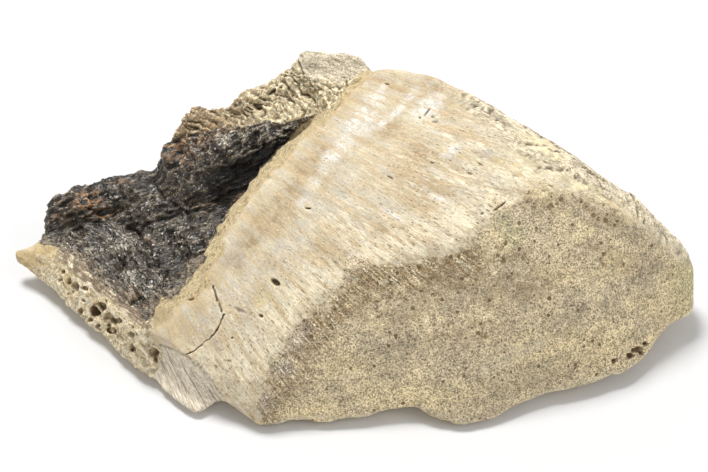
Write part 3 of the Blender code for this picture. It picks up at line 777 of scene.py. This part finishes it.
band = settled(zone(RIM + BAND_OUTSIDE[::-1], 2.6, 3.6), 2.2)
cells = 1.0 - smooth_step(0.16, 0.40, pocks(0.95, 71))
rise += band * (0.16 * cloud(1.3, 72) - 0.16 * cells)
crumb = mottle(where, 2.2, 2.0, 0.7)
edge_band = blended(ranged(crumb, 0.44, 0.58), BAND_YELLOW, BAND_PALE)
edge_band = over(edge_band, OCHRE, carried("ochre_line", stroke(RIM, 1.8, 1.4, 1.0), 2.0), 0.6)
edge_band = shaded(edge_band, ranged(mottle(where, 3.2, 2.0, 0.75), 0.36, 0.64, 0.74, 1.2))
band_pores = scattered(where, 0.5, 0.25, 0.15, 1.9)
edge_band = over(edge_band, BAND_CELL,
                 either(band_pores, keep_share("band_cells", band * cells)), 0.45)
lay(keep_share("band", band), edge_band, 0.85, crumb)

# --------------------------------
# The spongy edge at the left foot: open marrow cells in a cream web, the
# largest 3 mm across, below a mauve-brown layered strip beside the core.
# --------------------------------
SPONGY_AREA = [(10, 250), (30, 236), (50, 240), (66, 242), (84, 252), (104, 268), (124, 284),
    (144, 298), (153, 316), (152, 338), (163, 350), (160, 362), (150, 384), (120, 370),
    (60, 310), (10, 270)]
LUMP_AREA = [(56, 238), (95, 222), (128, 226), (150, 246), (160, 275), (168, 300), (156, 334),
    (130, 330), (90, 300), (60, 268)]
LAYERED_AREA = [(58, 244), (78, 256), (100, 273), (124, 291), (146, 304), (153, 322), (147, 333),
    (134, 320), (112, 301), (90, 285), (70, 271), (56, 258)]
SPONGY_CREAM = (0.86, 0.755, 0.53)
SPONGY_YELLOW = (0.72, 0.555, 0.29)
SPONGY_PALE = (0.88, 0.82, 0.66)
WEB_WHITE = (0.92, 0.85, 0.68)
TIP_YELLOW = (0.60, 0.43, 0.19)
POCKET_TAN = (0.42, 0.32, 0.18)
LAYERED_MAUVE = (0.24, 0.175, 0.115)
CELL_DARK = (0.13, 0.085, 0.045)
CELL_TAN = (0.40, 0.28, 0.145)
MARROW_DEPTH = 0.9
SMALL_CELL_DEPTH = 0.50

lump = zone(LUMP_AREA, 2.0, 3.0)


def along(direction, points):
    """Places measured along and across a lie of strands."""
    run = np.array(direction, float) / np.linalg.norm(direction)
    side = np.cross([0.0, 0.0, 1.0], run)
    side /= np.linalg.norm(side)
    return np.stack([points @ run, points @ side, points @ np.cross(run, side)], 1)


def bundles_of(size, seed, lie):
    """Rounded strands side by side along a lie."""
    return (1.0 - np.abs(cloud(size, seed, lie))) ** 1.6


bent = place + 1.6 * np.stack([cloud(9.0, 81), cloud(9.0, 82), cloud(9.0, 83)], 1)
lie_upper = along((1.0, 0.34, 0.20), bent)
lie_lump = along((1.0, -1.0, -0.25), bent)
keep_lie("strand", np.where((lump > 0.5)[:, None], lie_lump, lie_upper))

strand_tone = threads(strand, 0.42, 1.4, 0.6)
hair_tone = threads(strand, 1.3, 3.0, 0.7)
spongy = settled(zone(SPONGY_AREA, 1.5, 1.5), 7.0)
marrow = spots([(69, 281, 3, 4, 20), (75, 286, 4.2, 4.6, 0), (84, 288, 3, 2.4, 0),
    (97, 309, 8, 5, -25), (80, 312, 3, 3.4, 0), (83, 300, 2.2, 2, 0), (83, 317, 2.6, 2, 0),
    (90, 319, 2.4, 2, 0), (97, 326, 3, 2, 0), (108, 318, 4.6, 4.6, 0), (113, 322, 2.6, 3.4, 0),
    (118, 320, 3, 3, 0), (112, 331, 3.6, 3, 0), (62, 272, 2.4, 2, 0), (131, 334, 3.2, 3.6, 0),
    (154, 353, 4.4, 5.4, 20), (134, 349, 2.2, 1.8, 0), (156, 360, 2.2, 2.6, 0),
    (60, 280, 1.8, 1.6, 0)], 0.3, 1.5) * shown
deep_cells = spots([(76, 287, 3.0, 3.0, 0), (99, 310, 5.0, 3.0, -25), (111, 321, 2.4, 3.0, 0),
    (112, 332, 2.2, 1.6, 0), (155, 355, 2.4, 3.4, 20), (85, 318, 1.6, 1.4, 0)], 0.5, 0.8) * shown
open_part = zone([(58, 270), (98, 290), (146, 332), (168, 350), (152, 388), (120, 372), (60, 314),
    (40, 288)], 4.0, 3.0)
small_cells = (1.0 - smooth_step(0.12, 0.36, pocks((1.1, 1.6, 1.35), 101, bent))) \
    * smooth_step(-0.35, 0.3, cloud(3.5, 103)) * (0.2 + 0.8 * open_part)
webbing = bundles_of((3.0, 0.8, 0.8), 104, lie_lump)
ribs = 0.25 * cloud((0.9, 2.6, 0.9), 105, lie_lump) * open_part
rise += spongy * (ribs + 0.12 * cloud(1.6, 102) - SMALL_CELL_DEPTH * small_cells
                  + 0.22 * (webbing - 0.6)) - MARROW_DEPTH * marrow
layered = settled(zone(LAYERED_AREA, 2.5, 2.5), 4.0)
web = mottle(where, 1.7, 2.0, 0.6)
sheets = threads(strand, 0.13, 1.5, 0.65)
sponge = blended(ranged(web, 0.42, 0.58), SPONGY_YELLOW, SPONGY_CREAM)
sponge = over(sponge, SPONGY_PALE, ranged(sheets, 0.54, 0.62, 0.0, 0.7))
sponge = shaded(sponge, ranged(mottle(where, 3.4, 2.0, 0.75), 0.38, 0.62, 0.66, 1.2))
sponge = over(sponge, CELL_TAN, veins(where, 0.9, 0.03), 0.5)
sponge = over(sponge, LAYERED_MAUVE, ranged(strand_tone, 0.54, 0.62), 0.5)
layer_colour = shaded(blended(ranged(sheets, 0.50, 0.64), LAYERED_MAUVE, SPONGY_CREAM),
                      ranged(hair_tone, 0.4, 0.6, 0.65, 1.35))
sponge = over(sponge, layer_colour, keep_share("layered", layered))
white_web = spongy * smooth_step(0.80, 0.98, webbing) * (0.15 + 0.45 * open_part)
sponge = over(sponge, WEB_WHITE, keep_share("white_web", white_web))
sponge = over(sponge, CELL_TAN, keep_share("small_cells", spongy * small_cells), 0.75)
tip_stain = 0.7 * spots([(24, 257, 16, 10, 20), (44, 250, 12, 6, 0)], 0.8, 3.0)
sponge = over(sponge, TIP_YELLOW, carried("tip_stain", tip_stain))
sponge = over(sponge, CELL_TAN, keep_share("marrow", marrow), 0.7)
sponge = over(sponge, CELL_DARK, keep_share("deep_cells", deep_cells), 0.9)
lay(keep_share("spongy", spongy), sponge, 0.85, times(crumb, 2.0))
tint(POCKET_TAN, carried("pocket_tan", spots([(160, 316, 12, 8, -35)], 0.6, 2.0), 3.0), 0.6)

# --------------------------------
# The torn core: the heart of the bone, turned nearly black and glassy by
# minerals. It is torn into bundles of strands, with rusty brown honeycomb
# patches. The wall under its upper shelf carries a deep, wet-looking painted
# shadow, and the strand tops, the shelf and many small specks carry painted
# highlights and glints.
# --------------------------------
CORE_AREA = [(345, 95), (336, 101), (322, 113), (302, 124), (287, 140), (266, 164), (244, 190),
    (224, 220), (207, 247), (205, 258), (193, 276), (177, 294), (158, 303), (150, 322),
    (137, 312), (121, 299), (103, 283), (86, 267), (70, 252), (50, 247), (38, 240), (30, 225),
    (38, 205), (54, 190), (80, 182), (125, 172), (158, 158), (176, 130), (200, 127), (240, 124),
    (270, 122), (300, 113), (325, 107)]
HOLLOW_PLAN = [(-62, 9.0), (-57, 6.8), (-53, 2.4), (-44, -6.2), (-38.5, -13.4), (-36, -12.6),
    (-32.9, -11.8), (-29.8, -9.9), (-27.2, -5.8), (-24, -0.8), (-20.3, 4.4), (-16, 8.5),
    (-12, 12), (-9.2, 13.7), (-5.3, 14.3), (-2.6, 15.8), (0, 18.4), (1.5, 20.0), (-5, 21.5),
    (-12, 22.0), (-22, 22.4), (-34, 23.0), (-50, 21.5), (-58, 17.8), (-61, 14.6)]
HOLLOW_FLOOR = 7.5
CORE_BLACK = (0.018, 0.014, 0.010)
CORE_BROWN = (0.105, 0.082, 0.056)
CORE_GREY = (0.34, 0.31, 0.26)
CORE_DUST = (0.37, 0.30, 0.21)
CORE_GOLD = (0.60, 0.43, 0.20)
# Colour of the painted highlights on the strand crests.
STRAND_HIGHLIGHT = (0.49, 0.44, 0.35)
RUST = (0.37, 0.195, 0.085)
GLINT = (0.95, 0.89, 0.80)

in_hollow = (~shown) & (within(place[:, 0], place[:, 1], HOLLOW_PLAN, 0.5) > 0.5) \
    & (facing[:, 2] > np.where(place[:, 0] > -45.0, -0.85, -0.45)) & (place[:, 2] > HOLLOW_FLOOR)
core = settled(zone(CORE_AREA, 4.0, 3.2), 9.0)
core = np.where(in_hollow, np.maximum(core, smooth_step(0.2, 0.9, away)), core)


def bundles(size, seed):
    """Strands that lie one way in the lump and another above it."""
    upper, lower = bundles_of(size, seed, lie_upper), bundles_of(size, seed, lie_lump)
    return upper * (1.0 - lump) + lower * lump


strands = bundles((5.0, 1.15, 1.15), 84)
hairs = bundles((2.6, 0.6, 0.6), 85)
chunks = 1.0 - np.abs(cloud(5.2, 86))
crust = 1.0 - np.abs(cloud(1.7, 87))
shelf = zone([(183, 158), (225, 150), (262, 143), (300, 127), (322, 112), (300, 108), (240, 124),
    (183, 130)], 4.0, 3.0)
# The wall under the upper shelf: calmer relief, and further on a painted shadow on its colour.
under_shelf = zone([(206, 178), (222, 166), (258, 153), (296, 134), (322, 114), (300, 128),
    (268, 162), (243, 190), (226, 206), (208, 200)], 3.0, 2.0)
steps = stroke([(186, 176), (214, 165), (246, 156), (276, 143), (304, 128)], 1.6, 1.4, 2.0) \
    + stroke([(200, 206), (222, 195), (245, 184)], 1.4, 1.2, 1.5) \
    + stroke([(148, 212), (170, 216), (196, 208)], 1.2, 1.2, 2.0)
clefts = stroke([(62, 216), (84, 221), (112, 222), (136, 232), (152, 250)], 1.8, 1.4, 2.0) \
    + stroke([(125, 262), (122, 276), (118, 286)], 2.2, 1.6, 1.5) \
    + stroke([(56, 205), (80, 203), (98, 210)], 1.2, 1.0, 1.5) \
    + stroke([(150, 178), (163, 196), (190, 214)], 1.6, 1.4, 2.0)
pocket = spots([(108, 214, 8, 6, 0)], 0.4, 1.0)
golden = zone([(158, 182), (190, 160), (240, 150), (262, 160), (235, 190), (205, 206),
    (172, 206)], 5.0, 3.0)
calm = 1.0 - 0.65 * np.maximum(under_shelf, 0.8 * golden)
rise += core * (1.25 * (chunks - 0.6) * calm + 0.85 * (strands - 0.5) * calm
                + 0.42 * (hairs - 0.5) + 0.40 * (crust - 0.6) * calm
                + 0.45 * shelf * (crust - 0.5) + 0.30 * steps - 0.55 * clefts * shown
                - 1.0 * pocket * shown)

rusty = np.maximum.reduce([
    spots([(186, 140, 24, 19, -40), (306, 114, 9, 4, -15), (152, 243, 4, 3, 0),
        (88, 200, 14, 7, -10), (215, 125, 22, 7, -10)], 0.8, 3.0),
    0.45 * spots([(80, 196, 20, 6, -10), (118, 182, 10, 5, 0), (58, 214, 6, 5, 0),
        (240, 128, 20, 5, 0), (225, 195, 26, 7, -20), (95, 212, 24, 7, 0), (140, 300, 20, 7, 30),
        (85, 262, 16, 7, 35), (204, 262, 12, 12, -40)], 0.9, 4.0)])
# Where the painted glints are densest and the painted strand highlights strongest.
glinting = np.maximum.reduce([
    spots([(114, 199, 8, 5, -30), (131, 224, 7, 9, 0), (118, 248, 12, 14, 45),
        (152, 205, 9, 8, 0), (90, 178, 16, 4, -8)], 0.8, 3.0),
    0.85 * spots([(175, 235, 26, 20, -20), (150, 280, 20, 13, 30), (225, 147, 40, 9, -22),
        (268, 136, 26, 8, -14), (98, 252, 9, 9, 0), (60, 240, 12, 6, 40)], 0.9, 4.0)])
greyish = spots([(98, 254, 9, 9, 0), (140, 284, 16, 9, 20), (118, 240, 20, 12, 45)], 0.9, 3.0)
dusty = 0.9 * stroke([(36, 238), (70, 251), (103, 281), (137, 310), (150, 320), (160, 301),
    (177, 293), (193, 275), (205, 257)], 8.0, 7.0, 3.0)
# Painted highlights on the crests of the strands and crust. They are strongest on the glinting
# spots, the shelf and the lump, and held back in the shelf's painted shadow.
strand_highlights = smooth_step(0.62, 0.95, strands) * smooth_step(-0.3, 0.4, cloud(1.4, 88)) \
    + 0.7 * smooth_step(0.7, 0.95, crust)
strand_highlights = strand_highlights * (0.20 + 0.8 * glinting + 1.5 * shelf + 0.45 * lump) * (1 - 0.85 * under_shelf)

heart = blended(ranged(strand_tone, 0.44, 0.60), CORE_BLACK, CORE_BROWN)
heart = over(heart, CORE_GREY, carried("core_grey", greyish),
             ranged(hair_tone, 0.46, 0.6, 0.0, 0.9))
heart = over(heart, STRAND_HIGHLIGHT, keep_share("painted_strand_highlights", strand_highlights), ranged(hair_tone, 0.46, 0.60))
heart = over(heart, RUST, carried("core_rust", rusty), ranged(strand_tone, 0.46, 0.60))
heart = shaded(heart, times(ranged(mottle(where, 0.42), 0.4, 0.6, 0.7, 1.3),
                            ranged(flecks, 0.36, 0.64, 0.45, 1.6)))
# Painted glints: pale specks that stand for sparkling reflections off the crystals.
glint_specks = either(scattered(stretched(strand, 0.8, 2.0), 0.46, 0.27, 0.12),
                scattered(where, 0.30, 0.30, 0.15, 2.1))
glint_share = times(plus(times(carried("core_glint", glinting), 0.75), 0.42),
                    ranged(mottle(where, 0.8), 0.42, 0.56, 0.25, 1.0))
# Painted shadow on the wall under the upper shelf: it darkens the colour there and dims the painted
# glints.
painted_shelf_shadow = carried("painted_shelf_shadow", under_shelf)
heart = over(heart, CORE_DUST, carried("core_dust", dusty), ranged(hair_tone, 0.42, 0.58))
heart = over(heart, CORE_GOLD, keep_share("core_golden", golden),
             scattered(where, 0.35, 0.28, 0.12, 1.9))
heart = over(heart, GLINT, times(glint_specks, glint_share),
             maths("SUBTRACT", 1.0, times(painted_shelf_shadow, 0.85)))
heart = shaded(heart, ranged(painted_shelf_shadow, 0.0, 1.0, 1.0, 0.22))
ragged_core = ranged(plus(keep_share("core", core), swing(crumb, 0.8)), 0.38, 0.60)
lay(ragged_core, heart, ranged(hair_tone, 0.3, 0.7, 0.16, 0.42),
    plus(times(strand_tone, 4.0), times(hair_tone, 3.0)))

# --------------------------------
# The splintered ridge behind the core: crusty cream and tan bone, split into
# thin plates with crevices painted dark with shade, and one flatter grey-cream
# slab on top with a painted shadow along its lower edge.
# --------------------------------
RIDGE_AREA = [(150, 150), (176, 138), (200, 132), (240, 128), (270, 125), (300, 119), (322, 112),
    (340, 100), (350, 82), (363, 72), (380, 66), (360, 40), (300, 30), (270, 70), (200, 80),
    (150, 120)]
SLAB_AREA = [(297, 56), (312, 46), (345, 50), (372, 66), (360, 76), (330, 84), (305, 76)]
SLAB_EDGE = [(297, 58), (304, 77), (328, 87), (346, 86), (360, 78)]
RIDGE_TAN = (0.60, 0.46, 0.26)
RIDGE_CREAM = (0.97, 0.85, 0.58)
RIDGE_SLAB = (0.90, 0.79, 0.585)
RIDGE_BROWN = (0.27, 0.16, 0.075)
SLAB_LINE = (0.36, 0.30, 0.22)
CREVICE = (0.10, 0.065, 0.032)
DARK_HOLE_DEPTH = 0.8
SLAB_EDGE_DEPTH = 0.5

ridge = settled(zone(RIDGE_AREA, 2.0, 2.5), 9.0) * (1.0 - in_hollow * smooth_step(0.2, 0.9, away))
slab_area = settled(zone(SLAB_AREA, 2.0, 1.5), 5.0)
lie_plates = along((1.0, -0.55, -0.35), bent)
plates = bundles_of((4.2, 0.75, 0.75), 91, lie_plates)
knobs = 1.0 - np.abs(cloud(1.5, 92) + 0.35 * shake[0])
dark_hole = spots([(257, 106, 5, 2.6, 20), (272, 93, 5, 2.2, -30), (233, 98, 4, 2, 0)],
                  0.4, 1.6) * shown
# A groove along the slab's lower edge, painted dark further on as a shadow line.
slab_edge = stroke(SLAB_EDGE, 0.8, 0.9, 1.0, 1.0) * shown
level = 0.48 * (lie_plates[:, 1] + lie_plates[:, 2]) \
    + 1.1 * cloud((5.0, 1.8, 1.8), 95, lie_plates) + 0.25 * shake[1]
ledges = level - np.floor(level)
crevices = 1.0 - smooth_step(0.04, 0.24,
                             np.abs(cloud((2.6, 0.7, 0.7), 93, lie_plates) + 0.3 * shake[0]))
crevices *= smooth_step(-0.3, 0.2, cloud(2.2, 94))
crevices = np.maximum(0.6 * crevices, (1.0 - smooth_step(0.05, 0.22, ledges))
                      * smooth_step(-0.5, 0.1, cloud(3.0, 96)))
loose = ridge * (1.0 - 0.8 * slab_area)
rise += loose * (0.38 * (knobs - 0.55) + 0.40 * (plates - 0.5) + 0.60 * (ledges - 0.5)
                 - 0.25 * crevices) - DARK_HOLE_DEPTH * dark_hole - SLAB_EDGE_DEPTH * slab_edge
rise += ridge * slab_area * 0.25 * (plates - 0.6)

splinters = blended(ranged(mottle(where, 0.9, 2.0, 0.65), 0.40, 0.54), RIDGE_TAN, RIDGE_CREAM)
splinters = over(splinters, RIDGE_SLAB, keep_share("ridge_slab", slab_area))
splinters = over(splinters, CREVICE, veins(stretched(grain, 0.5, 2.6), 1.0, 0.035), 0.6)
slab_lines = threads(grain, 0.16, 2.0, 0.65, 0.5)
splinters = over(splinters, SLAB_LINE, share_of("ridge_slab"),
                 ranged(slab_lines, 0.54, 0.62, 0.0, 0.7))
left_end = 1.0 - smooth_step(195, 290, across + 8 * wander[0])
splinters = over(splinters, RIDGE_BROWN, carried("ridge_brown", left_end, 9.0),
                 ranged(crumb, 0.34, 0.56, 0.25, 0.9))
splinters = shaded(splinters, ranged(mottle(where, 3.0, 2.0, 0.75), 0.36, 0.64, 0.6, 1.25))
# Painted shade in the crevices, in the dark holes and along the slab's lower edge.
crevice_shade = np.maximum.reduce([loose * crevices, dark_hole, 0.8 * slab_edge])
splinters = over(splinters, CREVICE, keep_share("crevices", crevice_shade), 0.85)
ragged_ridge = ranged(plus(keep_share("ridge", ridge), swing(crumb, 1.4)), 0.36, 0.62)
lay(ragged_ridge, splinters, 0.78, times(crumb, 2.5))

# --------------------------------
# The bone put together: the net is pushed out and in by all the relief above,
# its foot kept flat on the ground, and it takes the place of the plain solid.
# --------------------------------
EVENING_ROUNDS = 5
FLAT_FOOT = 1.6  # above the ground at which the relief is whole
BUMP_DEPTH = 0.12 * MM

sunk = rise.copy()
for _ in range(EVENING_ROUNDS):
    sunk = averaged(sunk)[:, 0]
# Painted shade in the hollows of the relief and painted light on its high points.
relief_shade_and_light = keep_share("relief_shade_and_light", 0.5 + 1.8 * (rise - sunk))
look["colour"] = shaded(look["colour"], ranged(relief_shade_and_light, 0.0, 1.0, 0.45, 1.5))
rise *= smooth_step(0.0, FLAT_FOOT, place[:, 2] + 0.3)
low, high = np.array(cad_box) * MM_PER_M
place = np.clip(place + facing * rise[:, None], low, high)
move_skin(place * MM)
skin.polygons.foreach_set("use_smooth", np.ones(len(skin.polygons), bool))

bump = add("Bump", {"Height": look["relief"], "Strength": 0.8, "Distance": BUMP_DEPTH})
surface = add("BsdfPrincipled", {"Base Color": look["colour"], "Roughness": look["dull"],
                                 "Normal": bump.outputs[0], "IOR": 1.5})
links.new(surface.outputs[0], add("OutputMaterial").inputs[0])

bone = put_in_scene("fossil_bone_section", skin)
skin.materials.append(finish)
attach(bone, "root")
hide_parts("bone_section")

# --------------------------------
# The studio: a plain white floor, a wide soft lamp overhead and a little
# behind, a weaker one at the right, and even pale light all round.
# --------------------------------
FLOOR_CORNERS = [(-3, -3, 0), (3, -3, 0), (3, 3, 0), (-3, 3, 0)]
PAPER_WHITE = (0.815, 0.815, 0.82, 1.0)
LIT_SPOT = (0.0, 0.0, 0.02)
ROOM_LIGHT = 0.47

floor_mesh = bpy.data.meshes.new("floor")
floor_mesh.from_pydata(FLOOR_CORNERS, [], [(0, 1, 2, 3)])
floor = put_in_scene("floor", floor_mesh)
paper = bpy.data.materials.new("paper")
paper.use_nodes = True
paper_shader = paper.node_tree.nodes["Principled BSDF"].inputs
paper_shader["Base Color"].default_value = PAPER_WHITE
paper_shader["Roughness"].default_value = 0.9
floor_mesh.materials.append(paper)


def lamp(name, spot, size, watts):
    light = bpy.data.lights.new(name, "AREA")
    light.shape = "DISK"
    light.size = size
    light.energy = watts
    made = put_in_scene(name, light)
    made.location = spot
    point_at(made, Vector(LIT_SPOT) - Vector(spot))


lamp("overhead_lamp", (-0.14, 0.22, 0.75), 0.24, 4.9)
lamp("side_lamp", (0.55, -0.25, 0.50), 0.35, 0.8)
world = bpy.data.worlds.new("pale_room")
world.use_nodes = True
room = world.node_tree.nodes["Background"].inputs
room["Color"].default_value = (1.0, 1.0, 1.0, 1.0)
room["Strength"].default_value = ROOM_LIGHT
bpy.context.scene.world = world
bpy.context.scene.view_settings.view_transform = "Standard"
